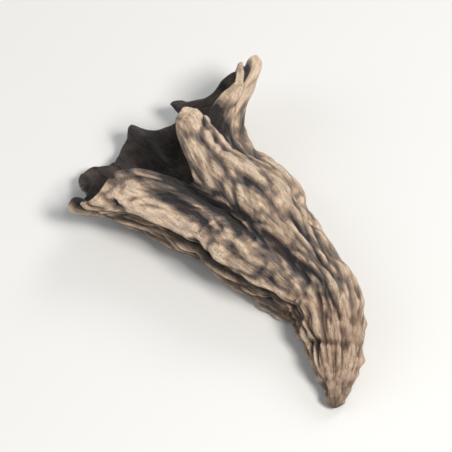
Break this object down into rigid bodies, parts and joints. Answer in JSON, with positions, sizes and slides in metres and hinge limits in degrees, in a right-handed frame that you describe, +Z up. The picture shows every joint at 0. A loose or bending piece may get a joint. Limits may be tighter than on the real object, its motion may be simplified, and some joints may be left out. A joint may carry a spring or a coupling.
{
  "type": "dried black trumpet mushroom",
  "caption": "Dried, pleated, funnel-shaped mushroom with a bent pointed stem, a split wavy rim and a dark hollow, lying on its side.",
  "frame": {"origin": "on the surface the mushroom lies on, under the centre of its bounding box", "axes": "+Z up, -X towards the mouth, +X towards the bent stem"},
  "size_m": [0.0348, 0.0236, 0.0098],
  "materials": {
    "flesh": "matt, wrinkled"
  },
  "bodies": {
    "root": {"trumpet": "flesh"}
  },
  "joints": []
}
